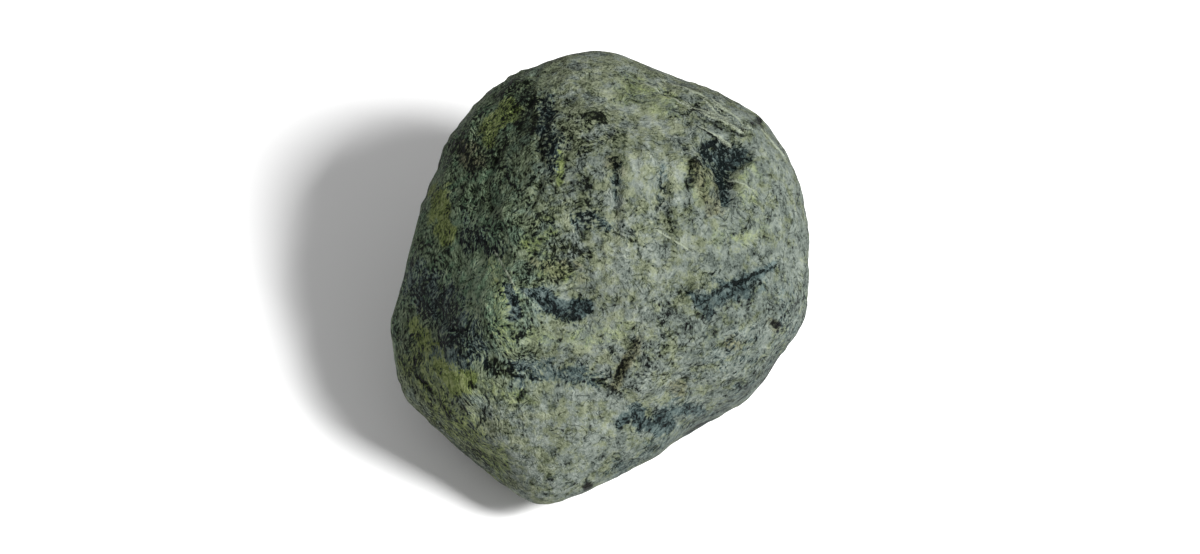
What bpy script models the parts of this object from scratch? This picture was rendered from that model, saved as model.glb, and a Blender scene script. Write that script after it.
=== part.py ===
"""A water-worn cobble of green serpentine: one solid stone, 150 mm wide, resting on a small flat spot.

Metres, +Z up. The stone is described as it is seen from its best side, the front, 55 degrees above the
horizon: "right" and "up" lie in that picture plane, and "toward" points at the viewer. Every distance
is taken from the heart of the stone, a point inside it from which the whole surface can be seen.
"""

import math

import bmesh
import bpy
from mathutils import Vector, noise

MM = 0.001

# The mesh that is shaped into the stone: a cube of square cells, blown up to a ball.
CELLS_PER_EDGE = 28

# The direction that the stone is seen from.
SIGHT_ELEVATION = math.radians(55)
RIGHT = Vector((1, 0, 0))
UP = Vector((0, math.sin(SIGHT_ELEVATION), math.cos(SIGHT_ELEVATION)))
TOWARD = Vector((0, -math.cos(SIGHT_ELEVATION), math.sin(SIGHT_ELEVATION)))

# How far the heart lies above the ground, and how softly the flat spot runs into the sides.
HEART_HEIGHT = 51 * MM
FOOT_ROUNDING = 5 * MM

# Worn faces as (bearing, tilt, distance). The bearing is the clock angle in the picture, in degrees
# anticlockwise from the right. The tilt is 90 for a face that looks at the viewer, 0 for one seen
# edge-on, and negative for one on the hidden side. The distance is from the heart to the face, in mm.
EDGE_WEAR = 16
WORN_FACES = (
    # The girdle, anticlockwise from the right.
    (0, 4, 78),
    (24, 4, 82),
    (46, -4, 86),
    (68, 4, 82),
    (111, -4, 82.5),
    (156, 0, 70),
    (186, -4, 78),
    (227, 6, 83),
    (263, 12, 92),
    (301, 4, 66),
    (324, 0, 73),
    # The faces that look at the viewer.
    (30, 82, 51),
    (151, 46, 57),
    (182, 36, 67),
    (118, 30, 72),
    (82, 44, 63),
    (38, 42, 67),
    (0, 34, 69),
    (-50, 46, 57.5),
    (-108, 64, 61),
    (-134, 18, 84),
    # The back and the underside.
    (92, -24, 83),
    (90, -72, 62),
    (150, -45, 66),
    (-160, -50, 57),
    (30, -42, 68),
    (-25, -52, 59),
    (-92, -34, 66),
)

# Hollows (height below 0) and swellings (above 0) in mm: the place as right, up and toward from the
# heart, then the reach along and across, the clock angle of the length in degrees, and the height.
FORMS = (
    # The pit on the upper right with the lip over it.
    ((45, 36, 38), (12, 8), -72, -4.2),
    ((47, 51, 30), (15, 5), -28, 1.8),
    # The step low in the middle, high on its right side.
    ((17, -30, 45), (12, 7), 72, 2.2),
    ((2, -32, 47), (13, 5), 68, -2.6),
    # The groove that runs left from the step, and the shoulder below it.
    ((-20, -33, 46), (22, 5), -8, -2.2),
    ((-20, -49, 42), (20, 9), -22, 1.6),
    # Long shallow hollows on the front.
    ((48, -2, 40), (17, 6), 20, -2),
    ((-12, -9, 50), (14, 6), 0, -1.8),
    ((17, -49, 38), (14, 8), 10, -1.4),
    ((23, 34, 46), (18, 5), 84, -1.8),
    ((10, 26, 50), (20, 6), 80, 1.6),
    # The dark left side.
    ((-47, 38, 25), (13, 9), 60, -2.2),
    ((-57, 0, 22), (15, 8), 75, -1.7),
    ((-38, 18, 40), (12, 9), 30, 1.5),
    ((-24, 59, 30), (11, 9), 20, -1.8),
    # The two places where the outline dips.
    ((59, -34, 15), (16, 9), 40, -1.5),
    ((-47, -62, 10), (13, 9), -45, -1.2),
    # The back and the underside.
    ((8, 50, -32), (24, 14), 30, -2.8),
    ((-45, 8, -30), (20, 12), 100, -2.4),
    ((46, 18, -34), (22, 14), 60, 2.2),
    ((28, -18, -48), (16, 10), 20, -2.2),
    ((-12, 22, -52), (18, 12), -50, 1.8),
    ((72, -6, -4), (18, 12), 90, -1.6),
)
FORM_DEPTH = 30 * MM

# Gentle unevenness all over, as (wavelength, height) in mm, and where in the noise it starts.
UNEVENNESS = ((34, 2.6), (17, 1.5), (9, 0.3))
UNEVENNESS_START = Vector((7, 3, 5))

# The outline as it is seen: (bearing, distance from the heart in mm).
OUTLINE = (
    (0, 75.5),
    (12, 77),
    (25, 79.7),
    (45, 81.5),
    (58, 78.7),
    (72, 78),
    (81, 79.4),
    (90, 82.6),
    (105, 80.5),
    (117, 79.5),
    (128, 77.6),
    (145, 71.7),
    (162, 69),
    (178, 70.5),
    (190, 76),
    (203, 81),
    (210, 83),
    (222, 80.5),
    (240, 81.2),
    (252, 84.4),
    (258, 82.8),
    (273, 74.4),
    (296, 66.2),
    (310, 67),
    (322, 70.6),
    (334, 71.3),
    (346, 74.8),
)

# The outline is compared and fitted every so many degrees.
OUTLINE_STEP = 3


def picture_direction(bearing, tilt):
    """The unit vector of a bearing and a tilt, both in degrees."""
    bearing = math.radians(bearing)
    tilt = math.radians(tilt)
    across = RIGHT * math.cos(bearing) + UP * math.sin(bearing)
    return across * math.cos(tilt) + TOWARD * math.sin(tilt)


def worn_radius(direction, faces):
    """How far the body reaches from the heart: to the nearest face, with the edges worn round."""
    total = 0.0
    for normal, distance in faces:
        total += max(0.0, normal.dot(direction) / distance) ** EDGE_WEAR
    return total ** (-1 / EDGE_WEAR)


def form_height(point):
    """The sum of the hollows and swellings at a point of the worn body."""
    place = Vector((point.dot(RIGHT), point.dot(UP), point.dot(TOWARD)))
    height = 0.0
    for centre, (reach_along, reach_across), turn, form in FORMS:
        offset = place - Vector(centre) * MM
        turn = math.radians(turn)
        along = (offset.x * math.cos(turn) + offset.y * math.sin(turn)) / (reach_along * MM)
        across = (offset.y * math.cos(turn) - offset.x * math.sin(turn)) / (reach_across * MM)
        deep = offset.z / FORM_DEPTH
        height += form * MM * math.exp(-along * along - across * across - deep * deep)
    for wavelength, swing in UNEVENNESS:
        height += swing * MM * noise.noise(place / (wavelength * MM) + UNEVENNESS_START)
    return height


def outline_radius(bearing):
    """The wanted outline at a bearing in degrees, on a smooth closed curve through OUTLINE."""
    count = len(OUTLINE)
    bearing %= 360
    after = next((i for i, point in enumerate(OUTLINE) if point[0] > bearing), count)
    angles = []
    radii = []
    for i in range(after - 2, after + 2):
        angles.append(OUTLINE[i % count][0] + 360 * (i // count))
        radii.append(OUTLINE[i % count][1])
    span = angles[2] - angles[1]
    share = (bearing - angles[1]) / span
    start_slope = (radii[2] - radii[0]) / (angles[2] - angles[0]) * span
    end_slope = (radii[3] - radii[1]) / (angles[3] - angles[1]) * span
    rise = radii[2] - radii[1]
    sag = 3 * rise - 2 * start_slope - end_slope
    bend = start_slope + end_slope - 2 * rise
    return (radii[1] + share * (start_slope + share * (sag + share * bend))) * MM


def between(values, bearing):
    """A value at a bearing, from a list with one value for every OUTLINE_STEP degrees."""
    step, share = divmod(bearing / OUTLINE_STEP, 1)
    step = int(step)
    return values[step % len(values)] * (1 - share) + values[(step + 1) % len(values)] * share


def fit_outline(bm):
    """Moves points across the picture plane, most near the outline, until the outline is as wanted."""
    steps = 360 // OUTLINE_STEP
    widest = [0.0] * steps
    places = []
    for vert in bm.verts:
        right = vert.co.dot(RIGHT)
        up = vert.co.dot(UP)
        bearing = math.degrees(math.atan2(up, right)) % 360
        places.append((vert, right, up, bearing))
        nearest = round(bearing / OUTLINE_STEP)
        for step in (nearest - 1, nearest, nearest + 1):
            widest[step % steps] = max(widest[step % steps], math.hypot(right, up))
    misfit = [outline_radius(step * OUTLINE_STEP) / widest[step] - 1 for step in range(steps)]
    growth = [(misfit[step - 1] + 2 * misfit[step] + misfit[step + 1 - steps]) / 4 for step in range(steps)]
    for vert, right, up, bearing in places:
        nearness = math.hypot(right, up) / between(widest, bearing)
        vert.co += (RIGHT * right + UP * up) * between(growth, bearing) * nearness ** 2


def ball_of_squares(bm):
    """A cube cut into equal cells and blown up to a unit ball, with the cells kept nearly square."""
    bmesh.ops.create_cube(bm, size=2)
    bmesh.ops.subdivide_edges(bm, edges=bm.edges, cuts=CELLS_PER_EDGE - 1, use_grid_fill=True)
    for vert in bm.verts:
        spread = Vector([math.tan(value * math.pi / 4) for value in vert.co])
        vert.co = spread.normalized()


def rest_on_ground(bm):
    """Lifts the heart to its height and wears the lowest part flat at Z = 0."""
    for vert in bm.verts:
        height = vert.co.z + HEART_HEIGHT
        if height < -FOOT_ROUNDING:
            height = 0.0
        elif height < FOOT_ROUNDING:
            height = (height + FOOT_ROUNDING) ** 2 / (4 * FOOT_ROUNDING)
        vert.co.z = height


def centre_on_origin(bm):
    """Puts the middle of the stone's box over the origin."""
    for axis in (0, 1):
        values = [vert.co[axis] for vert in bm.verts]
        middle = (min(values) + max(values)) / 2
        for vert in bm.verts:
            vert.co[axis] -= middle


def stone_mesh():
    bm = bmesh.new()
    ball_of_squares(bm)
    faces = [(picture_direction(bearing, tilt), distance * MM) for bearing, tilt, distance in WORN_FACES]
    for vert in bm.verts:
        direction = vert.co.copy()
        body = direction * worn_radius(direction, faces)
        vert.co = body + direction * form_height(body)
    fit_outline(bm)
    rest_on_ground(bm)
    centre_on_origin(bm)
    bmesh.ops.recalc_face_normals(bm, faces=bm.faces)
    mesh = bpy.data.meshes.new("serpentine_rock")
    bm.to_mesh(mesh)
    bm.free()
    mesh.shade_smooth()
    return mesh


def stone_material():
    material = bpy.data.materials.new("worn_serpentine")
    material.use_nodes = True
    shader = material.node_tree.nodes["Principled BSDF"]
    shader.inputs["Base Color"].default_value = (0.20, 0.235, 0.175, 1)
    shader.inputs["Roughness"].default_value = 0.75
    shader.inputs["Metallic"].default_value = 0
    return material


def main():
    for obj in list(bpy.data.objects):
        bpy.data.objects.remove(obj)
    collection = bpy.data.collections.new("serpentine_rock")
    bpy.context.scene.collection.children.link(collection)
    stone = bpy.data.objects.new("serpentine_rock", stone_mesh())
    stone.data.materials.append(stone_material())
    collection.objects.link(stone)


main()
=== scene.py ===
"""The finish of a water-worn cobble of green serpentine, with its floor, light and camera.

The stone is described as it is seen from its best side, 55 degrees above the horizon. A place on it is
given in mm from the heart of the stone: right, up and toward the viewer.
"""

import math
import random

import bmesh
import bpy
import numpy as np
from mathutils import Matrix, Vector, noise
from mathutils.bvhtree import BVHTree


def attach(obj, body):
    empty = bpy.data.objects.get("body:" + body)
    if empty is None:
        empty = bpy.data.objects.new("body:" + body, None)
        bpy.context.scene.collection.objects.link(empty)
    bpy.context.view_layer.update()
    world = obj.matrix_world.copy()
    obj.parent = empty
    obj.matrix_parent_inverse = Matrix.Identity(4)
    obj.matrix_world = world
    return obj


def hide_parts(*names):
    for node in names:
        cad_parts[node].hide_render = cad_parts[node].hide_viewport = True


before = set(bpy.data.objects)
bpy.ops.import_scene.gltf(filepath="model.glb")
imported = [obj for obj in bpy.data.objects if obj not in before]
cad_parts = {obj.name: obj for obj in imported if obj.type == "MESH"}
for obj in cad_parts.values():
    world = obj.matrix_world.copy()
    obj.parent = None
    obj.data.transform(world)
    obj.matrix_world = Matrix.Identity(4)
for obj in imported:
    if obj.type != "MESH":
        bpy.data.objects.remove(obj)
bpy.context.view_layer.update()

MM = 0.001
STONE = "serpentine_rock"

# The direction that the stone is seen from, and its heart, from which the whole surface can be seen.
SIGHT_ELEVATION = math.radians(55)
RIGHT = Vector((1, 0, 0))
UP = Vector((0, math.sin(SIGHT_ELEVATION), math.cos(SIGHT_ELEVATION)))
TOWARD = Vector((0, -math.cos(SIGHT_ELEVATION), math.sin(SIGHT_ELEVATION)))
SIGHT = np.array((RIGHT, UP, TOWARD))
HEART = Vector((-0.3, -1.5, 51)) * MM

# The fine mesh: a cube of square cells, cast onto the worn body. The worn body is the solid, with corners
# closer than the weld in mm made one, and with its cells smoothed so many times.
CELLS_PER_EDGE = 124
CORNER_WELD = 0.01
SMOOTHINGS = 2

# How far up from the floor the fine relief fades in, so that the stone still rests on its flat spot, and
# how far toward the viewer from the heart the relief of the front fades in.
FOOT_FADE = 3.0
RELIEF_FRONT = (-5, 12)

# The unevenness that is left by wear, and how much of it is left where the stone is worn smooth. Here and
# below, noise in the relief is given by its wavelength and its swing in mm, and by where it starts.
WEAR = (
    (13, 0.9, (0, 4, 2)),
    (6, 0.6, (9, 4, 2)),
    (3, 0.32, (18, 4, 2)),
)
SMOOTHEST = 0.35

# Where the stone is rugged: the wavelength of the noise in mm and its start, the noise from which it
# begins to be rugged and from which it is so in full, and the same for the distance up from the heart.
RUGGED_WAVELENGTH = 24
RUGGED_START = (6, 1, 2)
RUGGED_RANGE = (-0.35, 0.3)
RUGGED_FROM = (-62, -38)

# Long shallow flutes: their spacing across the picture, along it and into it, and their height.
FLUTES = (5, 17, 11)
FLUTES_START = (3, 8, 1)
FLUTE_HEIGHT = 0.55

# The steep-sided pit on the upper right: its outline halfway down its walls, how that wanders, the width
# of the walls, the depth, and how strongly it is stained.
PIT_OUTLINE = ((34, 44), (36, 49), (46, 48), (53, 46), (55, 42), (47, 37), (46, 25), (43, 25), (40, 36))
PIT_WANDER = (3.5, 1.1, (4, 4, 1))
PIT_WALL = 3.0
PIT_DEPTH = 3.0
PIT_STAINS = {"black": 0.44, "blue": 0.7}

# Steps: the middle of the edge, the clock angle of the way up, half the edge's length, the height, and
# how far back from the edge the raised ground falls off. Then how all edges wander, and half the width of
# their slope.
STEPS = (
    ((9.5, -30.5), -26, 9, 1.7, 11),
    ((25, -18.5), -66, 13, 0.8, 9),
    ((-48, 30), -32, 10, 1.2, 9),
    ((23.5, 31), -2, 14, 0.9, 8),
    ((47, 52), 80, 11, 1.2, 7),
    ((-33, 21), 10, 9, 0.9, 7),
    ((46, -3), 112, 15, 0.7, 8),
)
STEP_WANDER = (6, 1.4, (2, 5, 8))
STEP_HALF_WIDTH = 0.9

# Furrows: the line, half the width and the depth.
FURROWS = (
    (((-38, -30), (-31, -32), (-22, -35), (-10, -37), (2, -35)), 2.0, 0.8),
    (((26, -5), (34, -2), (44, 2), (56, 6)), 1.4, 0.8),
    (((24, -10), (27, -8), (31, -3)), 1.0, 0.8),
    (((12, 46), (13, 36), (12, 26)), 1.5, 0.8),
    (((19, 44), (21, 34), (20, 22)), 1.5, 0.8),
    (((30, 42), (30, 32), (28, 20)), 1.2, 0.9),
    (((5, 40), (6, 31), (5, 22)), 1.3, 0.8),
    (((22, 66), (38, 59), (53, 51)), 1.1, 0.9),
    (((27, 59), (40, 54), (50, 50)), 1.0, 0.7),
    (((34, 70), (47, 63), (58, 54)), 1.0, 0.6),
    (((-22, 48), (-20, 38), (-22, 28), (-27, 20)), 1.4, 0.9),
    (((-36, 44), (-40, 34), (-38, 24)), 1.4, 1.0),
    (((-30, -4), (-24, -8), (-14, -8), (-4, -6)), 1.5, 0.7),
    (((12, -46), (20, -49), (30, -46)), 1.3, 0.6),
    (((-60, -8), (-54, -16), (-46, -22)), 1.2, 0.7),
)
FURROW_WANDER = (5, 1.0, (1, 6, 3))

# Small pits, scattered all over: how many, the range of their radius, how much rarer the wide ones are,
# their depth for each mm of the radius, and how quickly their sides run out.
PIT_COUNT = 170
PIT_RADIUS = (1.0, 2.8)
PIT_RARITY = 3
PIT_SLOPE = 0.36
PIT_FALL = 1.5
PIT_SEED = 11

# Stains, with some painted shade among the black ones and some painted light among the pale ones: the line
# that each follows, half its width, and its strength.
BLACK_STAINS_AND_PAINTED_SHADE = (
    (((-28, 66), (-24, 58), (-26, 52)), 4.6, 0.8),
    (((-18, 60), (-17, 50), (-16, 42)), 4.0, 0.5),
    (((-52, 46), (-44, 42), (-37, 43)), 5.2, 0.65),
    # Partly the stone's own dark green, partly painted shade: two wide dark marks over the left side, away
    # from the light.
    (((-46, 52), (-50, 32), (-56, 12)), 12.0, 0.24),
    (((-30, 50), (-32, 30), (-36, 20)), 9.0, 0.28),
    (((-46, 16), (-37, 9)), 3.5, 0.35),
    (((-62, -4), (-57, -10), (-53, -17), (-50, -21)), 6.5, 0.35),
    # Partly the stone's own dark olive, partly painted shade: dark along the steep lower-left rim.
    (((-70, -22), (-64, -38), (-50, -56), (-34, -72)), 4.0, 0.3),
    (((-11, 53), (-8, 42)), 6.5, 0.45),
    (((-5, 32), (-5, 15)), 3.6, 0.62),
    (((-21, 12), (-16, 12), (-13, 2)), 5.5, 0.55),
    (((-22, 6), (-21, 1)), 4.2, 0.6),
    (((-14, 11), (-8, 9)), 4.4, 0.65),
    (((-29, 24), (-21, 21)), 4.5, 0.4),
    (((30, 24), (32, 19)), 3.0, 0.35),
    (((-30, 18), (-27, 13)), 4.0, 0.45),
    (((-7, 53), (-3, 48)), 3.5, 0.45),
    (((28, -20), (34, -20)), 4.0, 0.35),
    (((17, -27), (21, -25)), 3.5, 0.3),
    (((33, 33), (38, 26)), 4.0, 0.35),
    (((6, 48), (7, 32)), 3.0, 0.4),
    (((4, -40), (8, -37)), 3.5, 0.4),
    (((-30, -25), (-26, -28)), 3.5, 0.35),
    (((-42, 49), (-38, 43)), 4.0, 0.35),
    (((-60, 13), (-57, 7)), 4.0, 0.35),
    (((-24, 47), (-27, 38)), 5.0, 0.5),
    (((-22, 36), (-18, 28), (-11, 29)), 5.0, 0.4),
    (((33, 40), (31, 32)), 1.8, 0.7),
    (((-21, -7), (-13, -12), (-6, -11)), 3.4, 0.45),
    (((36, -9), (44, -5), (51, -2)), 3.6, 0.3),
    (((12, -49), (20, -50)), 3.0, 0.4),
    (((30, 60), (44, 55), (56, 50)), 4.0, 0.3),
    (((-37, -31), (-31, -33)), 2.4, 0.9),
    (((-45, -37), (-44, -38)), 1.0, 1.3),
    (((-28, -42), (-27, -40)), 1.2, 1.4),
    (((-18, -70), (-17, -71)), 1.2, 0.9),
    (((-5, -74), (-4, -74)), 1.5, 1.0),
    (((-3, 56), (1, 55)), 1.9, 0.9),
    # Painted shade: a dark line along the edge of a step, where its drop faces away from the light.
    (((4, -39), (8, -31), (12, -22)), 1.3, 0.65),
    (((60, 60), (57, 56), (54, 54)), 1.5, 0.6),
    (((61, -16), (62, -17)), 1.2, 1.1),
    (((24, 20), (27, 17)), 2.2, 0.5),
    (((-30, -11), (-26, -17)), 4.0, 0.4),
    (((40, 4), (50, 5)), 3.5, 0.35),
    (((53, -7), (58, -9)), 4.0, 0.35),
    (((22, -13), (28, -15)), 3.5, 0.4),
    (((64, -30), (44, -48), (22, -60), (4, -70)), 3.5, 0.2),
)
BLUE_STAINS = (
    (((-20, 60), (-18, 50), (-16, 41)), 4.0, 0.6),
    (((-46, 17), (-37, 9)), 4.0, 0.5),
    (((34, -10), (42, -6), (48, -4)), 4.8, 0.72),
    (((48, -4), (55, -1)), 4.5, 0.5),
    (((51, -1), (61, 4)), 1.8, 0.7),
    (((-21, -7), (-13, -12), (-6, -11)), 4.2, 0.9),
    (((-31, -5), (-30, -13)), 2.4, 0.9),
    (((-64, -1), (-58, -8), (-52, -16), (-47, -24)), 8.0, 0.7),
    (((-28, -32), (-16, -33), (-4, -35)), 3.8, 0.62),
    (((11, -49), (21, -50)), 4.4, 0.9),
    (((27, -46), (35, -47)), 3.2, 0.7),
    (((22, 40), (21, 25)), 1.6, 0.4),
    (((6, 39), (6, 26)), 1.8, 0.45),
    (((-7, 21), (2, 19)), 3.6, 0.6),
    (((40, -26), (54, -24)), 9.0, 0.3),
    (((66, -6), (66, -24)), 6.0, 0.35),
    (((64, -30), (44, -48), (22, -60), (4, -70)), 4.0, 0.45),
)
YELLOW_STAINS = (
    (((-40, 52), (-34, 58)), 4.6, 0.7),
    (((-57, 29), (-55, 15)), 4.2, 1.0),
    (((-14, 43), (-14, 33)), 1.6, 0.6),
    (((-24, 12), (-18, 16)), 4.5, 0.45),
    (((-37, 4), (-33, -6), (-35, -15), (-31, -21)), 3.6, 0.4),
    (((-20, 4), (-10, 2)), 4.0, 0.5),
    (((-66, -17), (-60, -25)), 3.0, 0.8),
    (((-56, -29), (-48, -37)), 4.6, 1.3),
    (((-42, -38), (-34, -40), (-25, -44)), 3.0, 0.4),
    (((-22, -20), (-6, -22), (8, -16)), 4.0, 0.35),
    (((52, 38), (51, 28)), 5.0, 0.35),
    (((32, 36), (37, 28)), 5.0, 0.35),
    (((-66, -30), (-52, -50), (-36, -66)), 6.0, 0.5),
    (((10, 66), (24, 62)), 6.0, 0.4),
    (((40, 14), (56, 16)), 5.0, 0.3),
)
RUST_STAINS = (
    (((-22, 3), (-9, 2)), 4.0, 0.45),
    (((3, 40), (7, 38)), 3.0, 0.5),
    (((33, 38), (36, 30), (39, 25)), 4.0, 0.5),
    (((46, -23), (47, -24)), 2.6, 0.6),
    (((26, -39), (28, -39)), 3.0, 0.6),
    (((60, -15), (62, -18)), 2.0, 0.5),
    (((-48, 46), (-43, 40)), 4.0, 0.6),
    (((5, -37), (9, -30), (13, -22)), 2.2, 0.6),
)
PALE_STAINS_AND_PAINTED_LIGHT = (
    (((-13, 21), (-10, 16)), 4.5, 0.6),
    (((22, 11), (28, 9)), 4.5, 0.6),
    (((0, -25), (3, -28)), 4.0, 0.6),
    (((-22, -13), (-20, -16)), 3.5, 0.7),
    (((-24, -1), (-21, -4)), 3.5, 0.7),
    (((-36, 22), (-32, 22)), 3.5, 0.6),
    (((-57, 28), (-55, 15)), 3.5, 0.8),
    (((-2, 12), (4, 8)), 4.5, 0.7),
    # Painted light: the yellow patch on the left side is made paler, against the shade that falls there.
    (((-56, -29), (-48, -37)), 4.6, 1.2),
    (((-29, 13), (-27, 7)), 3.0, 0.9),
    (((-7, 0), (2, 2)), 4.0, 0.6),
    # Painted highlight: a pale ridge where the front's left edge begins and the light falls off.
    (((-43, 3), (-37, -7)), 5.5, 1.5),
    (((-47, 18), (-45, 8)), 4.6, 0.6),
    (((-41, -22), (-38, -28)), 3.5, 0.8),
    (((8, 31), (8, 22)), 4.2, 1.1),
    (((12, 58), (22, 56)), 6.0, 0.9),
    (((13, 49), (14, 42)), 5.0, 1.4),
    (((12, 46), (14, 37), (16, 28)), 4.0, 1.0),
    (((26, 37), (27, 29)), 4.4, 1.0),
    (((52, 40), (53, 28)), 4.5, 0.5),
    (((-20, -21), (-4, -22), (12, -16)), 4.0, 0.5),
    (((-40, -40), (-22, -46), (-8, -42)), 5.0, 0.8),
    (((-24, -58), (0, -60), (20, -58)), 14.0, 0.4),
    (((70, 30), (74, 12), (72, 0)), 4.0, 0.6),
    (((14, 4), (26, 10), (42, 18)), 8.0, 0.4),
    (((4, -8), (14, -9)), 5.0, 0.6),
    (((-42, 18), (-38, 14)), 4.0, 0.5),
    (((-30, -46), (-24, -42)), 5.0, 0.8),
)

# Each kind of stain with a number that its noise starts from. Among the black ones is painted shade, among
# the pale ones painted light.
STAINS_AND_PAINTED_LIGHT = {
    "black": (BLACK_STAINS_AND_PAINTED_SHADE, 3),
    "blue": (BLUE_STAINS, 11),
    "yellow": (YELLOW_STAINS, 23),
    "rust": (RUST_STAINS, 37),
    "pale": (PALE_STAINS_AND_PAINTED_LIGHT, 51),
}

# How many of its half-widths from its line a stain shows, and within how many it is full.
STAIN_EDGE = (1.6, 0.4)

# How far noise moves the stains, as (wavelength, reach) in mm, and where on its last two axes the noise
# across and the noise up start. Then half the width from which a stain is moved in full.
STAIN_WANDER = ((7, 5.0), (3, 2.2))
STAIN_WANDER_STARTS = ((0, 5), (7, 1))
WIDE_STAIN = 4.5

# Off the front each kind of stain follows noise: how far toward the viewer from the heart the front's
# own stains fade in, the wavelengths of the noise in mm across the picture, along it and into it, where
# it starts on the last of these, the noise from which a stain shows and from which it is full, and its
# strength there.
STAINED_FRONT = (-12, 6)
HIDDEN_STAIN_WAVELENGTHS = (24, 9, 16)
HIDDEN_STAIN_START = 3
HIDDEN_STAIN_RANGE = (0.05, 0.5)
HIDDEN_STAIN_STRENGTH = 0.55

# Fine dark cracks, one of them painted shade along a step, and pale scratches, as lines, and how far off,
# in mm, the distance to them is known.
CRACKS_AND_STEP_SHADE = (
    ((-38, -30.5), (-31, -33), (-22, -35.5)),
    ((-8, -37), (2, -35)),
    ((-42.5, -51.5), (-41, -48), (-39.5, -44.5)),
    # Painted shade, not a crack: a dark line along the edge of a step, where its drop faces away from the
    # light.
    ((22, -20), (29, -17), (36, -13)),
    ((39, 1), (35, -3), (33.5, -5), (33, -9.5)),
    ((40, -5), (50, -1), (61, 4)),
    ((22, 66), (38, 59), (53, 51)),
    ((27, 59), (40, 54), (50, 50)),
    ((26, 63.5), (33, 58.5)),
    ((35, 52), (41, 48.5)),
    ((21, 33), (20, 24)),
    ((31, 41), (30, 33), (31, 26)),
    ((5, 40), (6, 31), (5, 22)),
    ((-39, 44), (-33, 36), (-29, 30)),
    ((-20, 48), (-21, 38), (-26, 30)),
    ((5, 15), (12, 12), (15, 5)),
    ((-66, -33), (-56, -44), (-44, -58)),
)
SCRATCHES = (
    ((16.5, 68.5), (31.5, 59.5)),
    ((22, 71), (38, 63.5)),
    ((30.5, 61.5), (45.5, 55.5)),
    ((36, 57.5), (50, 51)),
    ((35.5, 52.5), (46.5, 47)),
    ((41, 61), (53, 52.5)),
    ((37, 62.5), (45, 54.5)),
    ((40, 63), (48, 56)),
    ((57.5, 52.5), (65.5, 43.5)),
    ((-36, 8), (-30, -2)),
    ((46, 35), (53, 31)),
    ((20, 16), (30, 10)),
)
LINE_REACH = 6.0

# How cracks and scratches are drawn: half their width in mm, how strongly noise makes them wander, and
# the noise from which they are whole.
CRACK_LINES = (0.8, 3.4, 0.52)
SCRATCH_LINES = (0.55, 1.0, 0.44)

# The wavelengths, in mm, of the noise that the lines wander by and of the noise that breaks them, and how
# far below the noise of a whole line the line is gone.
LINE_WANDER = 2.5
LINE_BREAKS = 4
LINE_BREAKING = 0.12

# The core of a line as a share of its width, and how far it may wander: from the first distance in mm it
# is left out, and up to the second it is drawn in full.
LINE_CORE = 0.25
LINE_LIMIT = (2.2, 1.4)

# Colours of the stone from dark to pale, as linear red, green and blue.
GREY_TONES = (
    (0.0022, 0.003, 0.0026),
    (0.0315, 0.040, 0.034),
    (0.080, 0.096, 0.083),
    (0.130, 0.149, 0.130),
    (0.186, 0.208, 0.184),
)
OLIVE_TONES = (
    (0.002, 0.003, 0.0012),
    (0.032, 0.040, 0.022),
    (0.083, 0.096, 0.059),
    (0.133, 0.149, 0.099),
    (0.190, 0.208, 0.148),
)
GREEN_TONES = (
    (0.0008, 0.0026, 0.001),
    (0.0205, 0.040, 0.021),
    (0.056, 0.096, 0.055),
    (0.094, 0.149, 0.091),
    (0.148, 0.208, 0.133),
)
NAVY_TONES = (
    (0.0013, 0.003, 0.003),
    (0.0235, 0.036, 0.0355),
    (0.065, 0.088, 0.084),
    (0.112, 0.141, 0.133),
    (0.166, 0.195, 0.182),
)
YELLOW_TONES = (
    (0.002, 0.003, 0.001),
    (0.028, 0.040, 0.010),
    (0.073, 0.096, 0.029),
    (0.120, 0.149, 0.052),
    (0.178, 0.205, 0.092),
)
RUST_TONES = (
    (0.0022, 0.0026, 0.0013),
    (0.035, 0.037, 0.020),
    (0.089, 0.091, 0.054),
    (0.139, 0.143, 0.092),
    (0.190, 0.195, 0.142),
)
SCRATCH_COLOUR = (0.198, 0.222, 0.168)
SCRATCH_STRENGTH = 0.8

# Noise in the colour: its wavelength in mm, its detail and its roughness. The wavelength of the strands'
# noise is a share of their length and width.
LARGE_NOISE = (16, 3, 0.6)
MIDDLE_NOISE = (4, 3, 0.6)
GRAIN_NOISE = (1.1, 2, 0.7)
FLECK_NOISE = (1.5, 1, 0.5)
OLIVE_NOISE = (5.5, 4, 0.7)
STRAND_NOISE = (1, 1, 0.5)

# How noise bends the places that the middle noise and the strands are drawn on: its wavelength, and how
# far it moves them.
MIDDLE_BEND = (9, 9)
STRAND_BEND = (12, 7)

# Specks: the fleck noise from which a dark one shows and from which it is full, the same for a pale one,
# and how strong a pale one is beside a dark one.
DARK_SPECK = (0.61, 0.72)
PALE_SPECK = (0.38, 0.28)
PALE_SPECK_STRENGTH = 0.5

# Strands: the noise from which one shows and from which it is full. Below, a layer of strands is given by
# its tilt toward the viewer and its turn in the picture, in degrees, and by its length and width in mm.
STRAND_EDGE = (0.34, 0.66)

# The felt: whether the paler or the darker of two layers shows, the two layers, and how much they count.
# Then the base that they add to.
FELT = (
    ("MAXIMUM", (10, -42, 6, 1.2), (-15, 62, 5, 1.1), 0.33),
    ("MINIMUM", (20, 12, 5, 1.1), (60, 100, 4, 1.1), 0.35),
    ("MAXIMUM", (0, -80, 3, 0.8), (30, 25, 2.6, 0.75), 0.36),
)
FELT_BASE = -0.06

# Long soft streaks, and the strands that lean one way on the left side: a base, how much each layer
# counts, and the layers. Then how far the leaning ones take over there.
STREAKS = (0.0, 0.5, ((15, -35, 17, 3.6), (-25, 80, 15, 3.2)))
LEANING = (-0.1, 0.6, ((0, 112, 6, 1.1), (20, 100, 3, 0.6)))
LEANING_SHARE = 0.45

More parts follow.
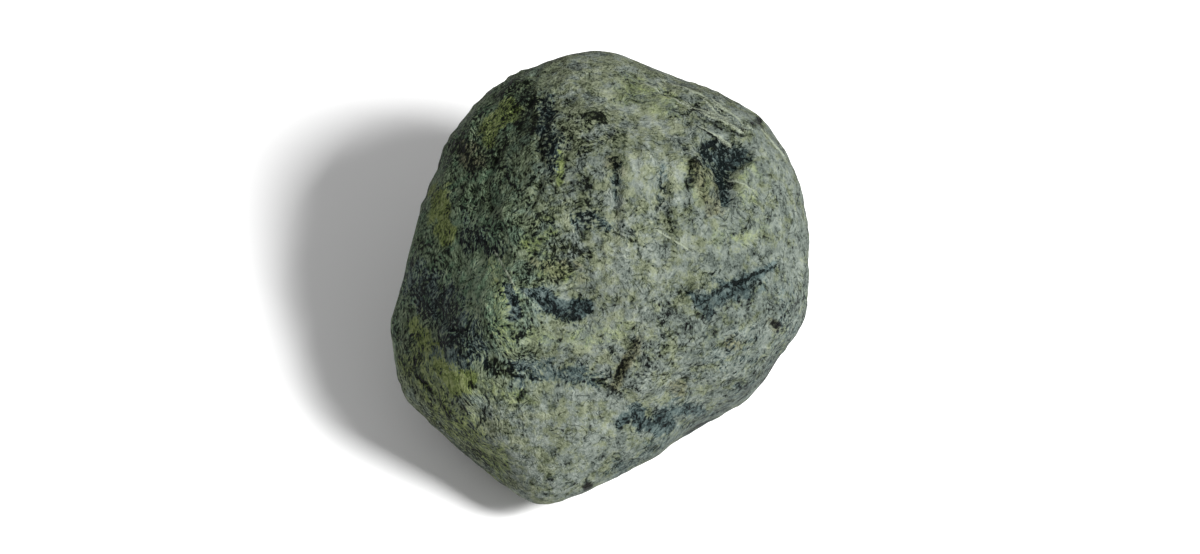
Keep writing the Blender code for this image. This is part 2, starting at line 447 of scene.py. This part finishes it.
# Thin dark curved lines: their wavelength in mm, and how far from its middle value the noise that they
# follow may be. Then the detail of that noise, and the core of a line as a share of its width.
HAIRLINES = ((5, 0.045), (3, 0.06))
HAIRLINE_DETAIL = 1.5
HAIRLINE_CORE = 0.2

# The patches that hairlines come in: how many times longer their wavelength is, and the noise from which
# a patch shows and from which it is full.
HAIRLINE_PATCH = 1.7
HAIRLINE_PATCH_RANGE = (0.46, 0.6)

# The sides of the front, by how far right of the heart they begin and from where they are full.
LEFT_SIDE = (-8, -45)
RIGHT_SIDE = (15, 45)

# The strength from which a streak counts as pale, and from which it does so in full.
PALE_STREAK = (0.5, 0.95)

# Strands are evened out toward their middle. By how much is a base and what adds to it.
STRAND_MIDDLE = 0.55
CALM_BASE = 0.38
CALM_WEIGHTS = {"rugged": -0.35, "pale": 0.3, "pale_streak": 0.3, "left_side": -0.8, "right_side": 0.24}

# Stains that fill the gaps between the strands first, and stains that take to the strands first: the
# weights of the stain, the strands and the middle noise, and the sum from which the stain shows and from
# which it is full.
GAP_STAIN = ((1.1, -1.1, 1.4), (0.35, 0.95))
STRAND_STAIN = ((1.3, 0.7, 1.2), (1.2, 2.05))

# The tone is 0 where the stone is darkest and 1 where it is palest: a base, and what adds to it.
TONE_BASE = -0.73
TONE_WEIGHTS = {
    "strand": 0.7,
    "streak": 0.25,
    "middle": 0.6,
    "large": 0.45,
    "grain": 0.6,
    "black_gaps": -0.24,
    "black": -0.31,
    "blue_gaps": -0.24,
    "yellow_strands": 0.06,
    "right": -0.0009,
    "pale": 0.11,
    # Painted shade: the tone is darker inside the small pits.
    "pitted": -0.22,
    "hairs": -0.27,
    "specks": -0.24,
    "crack": -0.36,
}

# Where grey turns olive: what each mm to the right and up adds to the noise, and the noise from which it
# starts to turn and from which it has turned.
OLIVE_WEIGHTS = {"right": -0.0011, "up": 0.0005}
OLIVE_RANGE = (0.40, 0.60)

# The left side is green: from how far up it starts to be and is in full, and how much less so in olive.
GREEN_RANGE = (-60, 0)
GREEN_LOSS = 0.5

# The surface: its roughness where it is darkest and what the tone adds, its gloss, and the height of each
# layer in mm.
ROUGHNESS = 0.62
PALE_ROUGHNESS = 0.25
GLOSS = 0.05
BUMP_WEIGHTS = {
    "strand": 0.35,
    "middle": 0.9,
    "grain": 0.35,
    "specks": -0.2,
    "hairs": -0.15,
    "crack": -0.5,
    "scratch": 0.2,
}

# The floor's width in metres, its colour and its roughness.
FLOOR_WIDTH = 6
FLOOR_COLOUR = (0.9, 0.9, 0.9, 1)
FLOOR_ROUGHNESS = 0.9

# The light comes from the viewer's right, high up; the sky fills in the shade. In metres and watts.
KEY_FROM = (0.60, 0.16, 0.78)
KEY_DISTANCE = 1.1
KEY_SIZE = 0.3
KEY_POWER = 26
SKY_STRENGTH = 0.42

# The camera looks down the sight line, from so many metres away; the stone fills four fifths of the
# picture's height. What is nearer than the second distance isn't seen. The lens is in mm.
CAMERA_DISTANCE = 1.2
NEAREST_SEEN = 0.01
LENS = 100


def smooth(values, low, high):
    """0 at low and beyond, 1 at high and beyond, and a soft rise between; low may be above high."""
    share = np.clip((values - low) / (high - low), 0, 1)
    return share * share * (3 - 2 * share)


def noise_at(places, wavelength, start):
    """Noise between -1 and 1 at places in mm; wavelength is one number or one for each axis."""
    scaled = places / np.array(wavelength, dtype=float) + np.array(start, dtype=float)
    return np.array([noise.noise(place) for place in scaled])


def swing_at(places, wavelength, swing, start):
    return swing * noise_at(places, wavelength, start)


def side_of_line(flat, line):
    """The distance of each place to a line through points, in mm, below 0 on the line's left."""
    line = np.array(line, dtype=float)
    nearest = np.full(len(flat), np.inf)
    side = np.zeros(len(flat))
    for start, end in zip(line[:-1], line[1:]):
        run = end - start
        share = np.clip((flat - start) @ run / (run @ run), 0, 1)
        gap = flat - start - share[:, None] * run
        reach = np.hypot(gap[:, 0], gap[:, 1])
        closer = reach < nearest
        nearest = np.where(closer, reach, nearest)
        turned = gap[:, 0] * run[1] - gap[:, 1] * run[0]
        side = np.where(closer, np.sign(turned) * reach, side)
    return side


def worn_body():
    """The solid's surface with its cells smoothed, as a tree that rays can be cast at."""
    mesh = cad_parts[STONE].data.copy()
    bm = bmesh.new()
    bm.from_mesh(mesh)
    bmesh.ops.remove_doubles(bm, verts=bm.verts, dist=CORNER_WELD * MM)
    bmesh.ops.join_triangles(
        bm, faces=bm.faces, angle_face_threshold=math.pi, angle_shape_threshold=math.pi
    )
    bm.to_mesh(mesh)
    bm.free()
    body = bpy.data.objects.new("worn_body", mesh)
    bpy.context.scene.collection.objects.link(body)
    body.modifiers.new("smoothed", "SUBSURF").levels = SMOOTHINGS
    tree = BVHTree.FromObject(body, bpy.context.evaluated_depsgraph_get())
    bpy.data.objects.remove(body)
    return tree


def cast_mesh(tree):
    """A fine mesh of square cells on the worn body."""
    bm = bmesh.new()
    bmesh.ops.create_cube(bm, size=2)
    bmesh.ops.subdivide_edges(bm, edges=bm.edges, cuts=CELLS_PER_EDGE - 1, use_grid_fill=True)
    for vert in bm.verts:
        spread = Vector([math.tan(value * math.pi / 4) for value in vert.co])
        vert.co = tree.ray_cast(HEART, spread.normalized())[0]
    bmesh.ops.recalc_face_normals(bm, faces=bm.faces)
    mesh = bpy.data.meshes.new("stone_skin")
    bm.to_mesh(mesh)
    bm.free()
    return mesh


def read_vectors(collection, name):
    values = np.empty(len(collection) * 3)
    collection.foreach_get(name, values)
    return values.reshape(-1, 3)


def steps_height(points):
    height = np.zeros(len(points))
    wander = swing_at(points, *STEP_WANDER)
    for middle, uphill, half_length, rise, fall in STEPS:
        offset = points[:, :2] - np.array(middle)
        turn = math.radians(uphill)
        ahead = offset[:, 0] * math.cos(turn) + offset[:, 1] * math.sin(turn) + wander
        aside = offset[:, 1] * math.cos(turn) - offset[:, 0] * math.sin(turn)
        behind_edge = smooth(ahead, -STEP_HALF_WIDTH, STEP_HALF_WIDTH)
        raised = behind_edge * np.exp(-np.clip(ahead, 0, None) / fall)
        height += rise * raised * np.exp(-(aside / half_length) ** 4)
    return height


def furrows_height(points):
    height = np.zeros(len(points))
    wander = swing_at(points, *FURROW_WANDER)
    for line, half_width, depth in FURROWS:
        gap = side_of_line(points[:, :2], line) + wander
        height -= depth * np.exp(-(gap / half_width) ** 2)
    return height


def in_pit(points):
    """How far into the steep-sided pit each point lies: 0 outside, 1 on its floor."""
    moved = points[:, :2] + swing_at(points, *PIT_WANDER)[:, None]
    outline = PIT_OUTLINE + PIT_OUTLINE[:1]
    inside = np.zeros(len(points), dtype=bool)
    for (start_right, start_up), (end_right, end_up) in zip(outline[:-1], outline[1:]):
        if start_up == end_up:
            continue
        crosses = (start_up > moved[:, 1]) != (end_up > moved[:, 1])
        meets = start_right + (moved[:, 1] - start_up) / (end_up - start_up) * (end_right - start_right)
        inside ^= crosses & (moved[:, 0] < meets)
    gap = abs(side_of_line(moved, outline))
    return smooth(np.where(inside, gap, -gap), -PIT_WALL / 2, PIT_WALL / 2)


def small_pits(points):
    """The depth of the small pits at seeded places, and how far into one each point lies, 0 to 1."""
    chance = random.Random(PIT_SEED)
    smallest, widest = PIT_RADIUS
    depth = np.zeros(len(points))
    inside = np.zeros(len(points))
    for _ in range(PIT_COUNT):
        centre = points[chance.randrange(len(points))]
        radius = smallest + (widest - smallest) * chance.random() ** PIT_RARITY
        bowl = np.exp(-PIT_FALL * np.sum((points - centre) ** 2, axis=1) / radius ** 2)
        depth += PIT_SLOPE * radius * bowl
        inside = np.maximum(inside, bowl)
    return depth, inside


def ruggedness(points):
    """How rugged the stone is, 0 to 1: worn smooth in patches and low on the front."""
    patches = smooth(noise_at(points, RUGGED_WAVELENGTH, RUGGED_START), *RUGGED_RANGE)
    return patches * smooth(points[:, 1], *RUGGED_FROM)


def wear_height(points):
    """Unevenness and flutes."""
    height = FLUTE_HEIGHT * (1 - 2 * np.abs(noise_at(points, FLUTES, FLUTES_START)))
    for wear in WEAR:
        height += swing_at(points, *wear)
    return height


def stain(points, stains, start):
    """How strongly each point is marked, from 0: by the stains, painted shade and painted light on the
    front, and by noise elsewhere.
    """
    wander = np.zeros((len(points), 2))
    for wavelength, reach in STAIN_WANDER:
        for axis, starts in enumerate(STAIN_WANDER_STARTS):
            wander[:, axis] += swing_at(points, wavelength, reach, (start, *starts))
    strength = np.zeros(len(points))
    for line, half_width, most in stains:
        moved = points[:, :2] + wander * min(1, (half_width / WIDE_STAIN) ** 2)
        gap = abs(side_of_line(moved, line)) / half_width
        strength = np.maximum(strength, most * smooth(gap, *STAIN_EDGE))
    clouds = noise_at(points, HIDDEN_STAIN_WAVELENGTHS, (start, start, HIDDEN_STAIN_START))
    hidden = HIDDEN_STAIN_STRENGTH * smooth(clouds, *HIDDEN_STAIN_RANGE)
    front = smooth(points[:, 2], *STAINED_FRONT)
    return front * strength + (1 - front) * hidden


def write_attribute(mesh, name, values):
    attribute = mesh.attributes.new(name, "FLOAT", "POINT")
    attribute.data.foreach_set("value", values.astype(np.float32))


def write_lines(mesh, name, points, lines):
    """Writes the distance to the nearest of the lines on the front, with its side as a sign and without."""
    nearest = np.full(len(points), LINE_REACH)
    for line in lines:
        side = side_of_line(points[:, :2], line)
        nearest = np.where(abs(side) < abs(nearest), side, nearest)
    nearest = np.where(points[:, 2] > 0, nearest, LINE_REACH)
    write_attribute(mesh, name + "_side", nearest)
    write_attribute(mesh, name + "_gap", abs(nearest))


def stone_skin():
    """The stone's fine surface, with what its material needs to know about each point."""
    mesh = cast_mesh(worn_body())
    places = read_vectors(mesh.vertices, "co")
    normals = read_vectors(mesh.vertices, "normal")
    points = (places - np.array(HEART)) @ SIGHT.T / MM
    front = smooth(points[:, 2], *RELIEF_FRONT)
    pit = front * in_pit(points)
    pits_depth, pitted = small_pits(points)
    rugged = ruggedness(points)
    height = wear_height(points) * (SMOOTHEST + (1 - SMOOTHEST) * rugged) - pits_depth - PIT_DEPTH * pit
    height += front * (steps_height(points) + furrows_height(points))
    height *= smooth(places[:, 2] / MM, 0, FOOT_FADE)
    places += normals * height[:, None] * MM
    places[:, 2] = np.clip(places[:, 2], 0, None)
    mesh.vertices.foreach_set("co", places.ravel())
    write_attribute(mesh, "pitted", pitted)
    write_attribute(mesh, "rugged", rugged)
    write_lines(mesh, "crack", points, CRACKS_AND_STEP_SHADE)
    write_lines(mesh, "scratch", points, SCRATCHES)
    for name, (stains, start) in STAINS_AND_PAINTED_LIGHT.items():
        strength = stain(points, stains, start)
        write_attribute(mesh, name, np.maximum(PIT_STAINS.get(name, 0) * pit, strength))
    mesh.shade_smooth()
    skin = bpy.data.objects.new("stone_skin", mesh)
    bpy.context.scene.collection.objects.link(skin)
    return skin


class Recipe:
    """Adds nodes to a material one after the other, each from plain values or from other nodes' outputs."""

    def __init__(self, material):
        material.use_nodes = True
        self.tree = material.node_tree
        self.shader = self.tree.nodes["Principled BSDF"]

    def feed(self, socket, value):
        if isinstance(value, bpy.types.NodeSocket):
            self.tree.links.new(value, socket)
        elif isinstance(value, tuple) and socket.type == "RGBA":
            socket.default_value = (*value, 1)
        else:
            socket.default_value = value

    def add(self, kind, inputs, output=0, **settings):
        node = self.tree.nodes.new(kind)
        for name, value in settings.items():
            setattr(node, name, value)
        for name, value in inputs.items():
            self.feed(node.inputs[name], value)
        return node.outputs[output]

    def noise(self, place, wavelength, detail=2.0, roughness=0.5):
        inputs = {"Vector": place, "Scale": 1 / wavelength, "Detail": detail, "Roughness": roughness}
        return self.add("ShaderNodeTexNoise", inputs, output="Fac")

    def math(self, operation, first, second=0.0):
        return self.add("ShaderNodeMath", {0: first, 1: second}, operation=operation)

    def weigh(self, base, *parts):
        """The base plus each part, a value and its weight."""
        total = base
        for value, weight in parts:
            inputs = {0: value, 1: weight, 2: total}
            total = self.add("ShaderNodeMath", inputs, operation="MULTIPLY_ADD")
        return total

    def weigh_layers(self, base, weights, layers):
        """The base plus each of the layers that has a weight."""
        return self.weigh(base, *((layers[name], weight) for name, weight in weights.items()))

    def ramp(self, value, low, high):
        """0 at low and beyond, 1 at high and beyond, and a soft rise between; low may be above high."""
        inputs = {"Value": value, "From Min": low, "From Max": high}
        return self.add("ShaderNodeMapRange", inputs, interpolation_type="SMOOTHSTEP")

    def mix(self, factor, first, second):
        node = self.tree.nodes.new("ShaderNodeMix")
        node.data_type = "RGBA"
        self.feed(node.inputs["Factor"], factor)
        self.feed(node.inputs["A"], first)
        self.feed(node.inputs["B"], second)
        return node.outputs["Result"]

    def tones(self, tone, colours):
        """The colour for a tone between 0 and 1, through evenly spaced colours."""
        node = self.tree.nodes.new("ShaderNodeValToRGB")
        self.feed(node.inputs["Fac"], tone)
        stops = node.color_ramp.elements
        for _ in colours[2:]:
            stops.new(0.5)
        for number, (stop, colour) in enumerate(zip(stops, colours)):
            stop.position = number / (len(colours) - 1)
            stop.color = (*colour, 1)
        return node.outputs["Color"]

    def attribute(self, name):
        return self.add("ShaderNodeAttribute", {}, output="Fac", attribute_name=name)


def stone_places(recipe):
    """The place on the stone in mm as right, up and toward from the heart."""
    turn = math.radians(90) - SIGHT_ELEVATION
    heart = Matrix.Rotation(-turn, 3, "X") @ HEART / MM
    inputs = {
        "Vector": recipe.add("ShaderNodeTexCoord", {}, output="Object"),
        "Location": tuple(-heart),
        "Rotation": (-turn, 0, 0),
        "Scale": (1 / MM, 1 / MM, 1 / MM),
    }
    return recipe.add("ShaderNodeMapping", inputs)


def bent(recipe, place, wavelength, reach):
    """Places moved about by noise, so that what is drawn on them runs in curves."""
    inputs = {"Vector": place, "Scale": 1 / wavelength, "Detail": 1.0}
    push = recipe.add("ShaderNodeTexNoise", inputs, output="Color")
    centred = recipe.add("ShaderNodeVectorMath", {0: push, 1: (0.5, 0.5, 0.5)}, operation="SUBTRACT")
    pushed = recipe.add("ShaderNodeVectorMath", {0: centred, "Scale": reach}, operation="SCALE")
    return recipe.add("ShaderNodeVectorMath", {0: place, 1: pushed}, operation="ADD")


def strands(recipe, place, tilt, turn, length, width):
    """Pale strands, 1, among dark gaps, 0, that lie along a direction: a tilt toward the viewer, then a
    turn in the picture, both in degrees."""
    inputs = {
        "Vector": place,
        "Rotation": (0, math.radians(-tilt), math.radians(turn)),
        "Scale": (length, width, width),
    }
    laid = recipe.add("ShaderNodeMapping", inputs, vector_type="TEXTURE")
    return recipe.ramp(recipe.noise(laid, *STRAND_NOISE), *STRAND_EDGE)


def felt(recipe, curly):
    """Matted strands in several directions and two sizes, from 0, dark, to 1, pale."""
    parts = []
    for operation, first, second, weight in FELT:
        both = (strands(recipe, curly, *first), strands(recipe, curly, *second))
        parts.append((recipe.math(operation, *both), weight))
    return recipe.weigh(FELT_BASE, *parts)


def strand_sum(recipe, curly, base, weight, layers):
    """Layers of strands added up, from 0, dark, to 1, pale."""
    return recipe.weigh(base, *((strands(recipe, curly, *layer), weight) for layer in layers))


def settled_strands(recipe, curly, layers):
    """The felt, which leans one way on the left side and is calmer where the stone is pale or smooth."""
    strand = felt(recipe, curly)
    change = recipe.math("SUBTRACT", strand_sum(recipe, curly, *LEANING), strand)
    strand = recipe.weigh(strand, (recipe.math("MULTIPLY", change, layers["left_side"]), LEANING_SHARE))
    calm = recipe.weigh_layers(CALM_BASE, CALM_WEIGHTS, layers)
    change = recipe.math("SUBTRACT", STRAND_MIDDLE, strand)
    return recipe.math("ADD", strand, recipe.math("MULTIPLY", change, calm))


def hairlines(recipe, place, wavelength, width):
    """Thin curved lines in patches, 1 along their middle: where noise crosses its middle value."""
    curved = bent(recipe, place, wavelength * 2, wavelength * 2)
    waves = recipe.noise(curved, wavelength, HAIRLINE_DETAIL)
    away = recipe.math("ABSOLUTE", recipe.math("SUBTRACT", waves, 0.5))
    lines = recipe.ramp(away, width, width * HAIRLINE_CORE)
    patches = recipe.ramp(recipe.noise(place, wavelength * HAIRLINE_PATCH), *HAIRLINE_PATCH_RANGE)
    return recipe.math("MULTIPLY", lines, patches)


def fine_lines(recipe, place, name, half_width, wander, whole):
    """1 along the middle of the cracks or the scratches, which wander and break off here and there."""
    noise_here = recipe.math("SUBTRACT", recipe.noise(place, LINE_WANDER), 0.5)
    side = recipe.weigh(recipe.attribute(name + "_side"), (noise_here, wander))
    line = recipe.ramp(recipe.math("ABSOLUTE", side), half_width, half_width * LINE_CORE)
    near = recipe.ramp(recipe.attribute(name + "_gap"), *LINE_LIMIT)
    unbroken = recipe.ramp(recipe.noise(place, LINE_BREAKS), whole - LINE_BREAKING, whole)
    return recipe.math("MULTIPLY", recipe.math("MULTIPLY", line, near), unbroken)


def taken_stain(recipe, stained, layers, weights, shows):
    """A stain, 0 to 1, that takes to the strands first, or to the gaps between them."""
    parts = zip((stained, layers["strand"], layers["middle"]), weights)
    return recipe.ramp(recipe.weigh(0.0, *parts), *shows)


def specks(recipe, place):
    """Dark specks, 1, and pale specks, below 0."""
    flecks = recipe.noise(place, *FLECK_NOISE)
    dark = recipe.ramp(flecks, *DARK_SPECK)
    pale = recipe.ramp(flecks, *PALE_SPECK)
    return recipe.weigh(0.0, (dark, 1.0), (pale, -PALE_SPECK_STRENGTH))


def mottling(recipe):
    """The layers that the colour and the bumps are made of, by name."""
    place = stone_places(recipe)
    curly = bent(recipe, place, *STRAND_BEND)
    right = recipe.add("ShaderNodeSeparateXYZ", {"Vector": place}, output="X")
    layers = {name: recipe.attribute(name) for name in ("pitted", "rugged", *STAINS_AND_PAINTED_LIGHT)}
    layers["right"] = right
    layers["up"] = right.node.outputs["Y"]
    layers["left_side"] = recipe.ramp(right, *LEFT_SIDE)
    layers["right_side"] = recipe.ramp(right, *RIGHT_SIDE)
    layers["large"] = recipe.noise(place, *LARGE_NOISE)
    layers["middle"] = recipe.noise(bent(recipe, place, *MIDDLE_BEND), *MIDDLE_NOISE)
    layers["grain"] = recipe.noise(place, *GRAIN_NOISE)
    layers["specks"] = specks(recipe, place)
    layers["streak"] = strand_sum(recipe, curly, *STREAKS)
    layers["pale_streak"] = recipe.ramp(layers["streak"], *PALE_STREAK)
    layers["strand"] = settled_strands(recipe, curly, layers)
    layers["hairs"] = recipe.math("MAXIMUM", *(hairlines(recipe, place, *lines) for lines in HAIRLINES))
    layers["crack"] = fine_lines(recipe, place, "crack", *CRACK_LINES)
    layers["scratch"] = fine_lines(recipe, place, "scratch", *SCRATCH_LINES)
    for name in ("black", "blue"):
        layers[name + "_gaps"] = taken_stain(recipe, layers[name], layers, *GAP_STAIN)
    for name in ("yellow", "rust"):
        layers[name + "_strands"] = taken_stain(recipe, layers[name], layers, *STRAND_STAIN)
    olive_noise = recipe.noise(place, *OLIVE_NOISE)
    layers["olive"] = recipe.ramp(recipe.weigh_layers(olive_noise, OLIVE_WEIGHTS, layers), *OLIVE_RANGE)
    return layers


def stone_colour(recipe, tone, layers):
    """Grey and olive, green on the left side, with the stains and scratches over them."""
    green = recipe.math("MULTIPLY", layers["left_side"], recipe.ramp(layers["up"], *GREEN_RANGE))
    green = recipe.math("MULTIPLY", green, recipe.weigh(1.0, (layers["olive"], -GREEN_LOSS)))
    colour = recipe.tones(tone, GREY_TONES)
    hues = (
        (layers["olive"], OLIVE_TONES),
        (green, GREEN_TONES),
        (layers["yellow_strands"], YELLOW_TONES),
        (layers["rust_strands"], RUST_TONES),
        (layers["blue_gaps"], NAVY_TONES),
    )
    for share, tones in hues:
        colour = recipe.mix(share, colour, recipe.tones(tone, tones))
    scratched = recipe.math("MULTIPLY", layers["scratch"], SCRATCH_STRENGTH)
    return recipe.mix(scratched, colour, SCRATCH_COLOUR)


def serpentine():
    material = bpy.data.materials.new("mottled_serpentine")
    recipe = Recipe(material)
    layers = mottling(recipe)
    tone = recipe.weigh_layers(TONE_BASE, TONE_WEIGHTS, layers)
    height = recipe.weigh_layers(0.0, BUMP_WEIGHTS, layers)
    bump = recipe.add("ShaderNodeBump", {"Height": height, "Strength": 1.0, "Distance": MM})
    recipe.feed(recipe.shader.inputs["Base Color"], stone_colour(recipe, tone, layers))
    recipe.feed(recipe.shader.inputs["Roughness"], recipe.weigh(ROUGHNESS, (tone, PALE_ROUGHNESS)))
    recipe.feed(recipe.shader.inputs["Normal"], bump)
    recipe.shader.inputs["Specular IOR Level"].default_value = GLOSS
    return material


def pale_floor():
    bpy.ops.mesh.primitive_plane_add(size=FLOOR_WIDTH)
    floor = bpy.context.object
    floor.name = "floor"
    material = bpy.data.materials.new("pale_floor")
    material.use_nodes = True
    shader = material.node_tree.nodes["Principled BSDF"]
    shader.inputs["Base Color"].default_value = FLOOR_COLOUR
    shader.inputs["Roughness"].default_value = FLOOR_ROUGHNESS
    floor.data.materials.append(material)


def light():
    away = Vector(Matrix((RIGHT, UP, TOWARD)).transposed() @ Vector(KEY_FROM)).normalized()
    lamp = bpy.data.lights.new("key", "AREA")
    lamp.size = KEY_SIZE
    lamp.energy = KEY_POWER
    key = bpy.data.objects.new("key", lamp)
    key.location = HEART + away * KEY_DISTANCE
    key.rotation_euler = away.to_track_quat("Z", "Y").to_euler()
    bpy.context.scene.collection.objects.link(key)
    world = bpy.data.worlds.new("soft_sky")
    world.use_nodes = True
    sky = world.node_tree.nodes["Background"]
    sky.inputs["Color"].default_value = (1, 1, 1, 1)
    sky.inputs["Strength"].default_value = SKY_STRENGTH
    bpy.context.scene.world = world
    bpy.context.scene.view_settings.view_transform = "Standard"


def camera():
    lens = bpy.data.cameras.new("camera")
    lens.lens = LENS
    lens.clip_start = NEAREST_SEEN
    viewer = bpy.data.objects.new("camera", lens)
    viewer.location = HEART + TOWARD * CAMERA_DISTANCE
    viewer.rotation_euler = TOWARD.to_track_quat("Z", "Y").to_euler()
    bpy.context.scene.collection.objects.link(viewer)
    bpy.context.scene.camera = viewer


def main():
    camera()
    light()
    pale_floor()
    skin = stone_skin()
    skin.data.materials.append(serpentine())
    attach(skin, "root")
    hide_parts(STONE)


main()
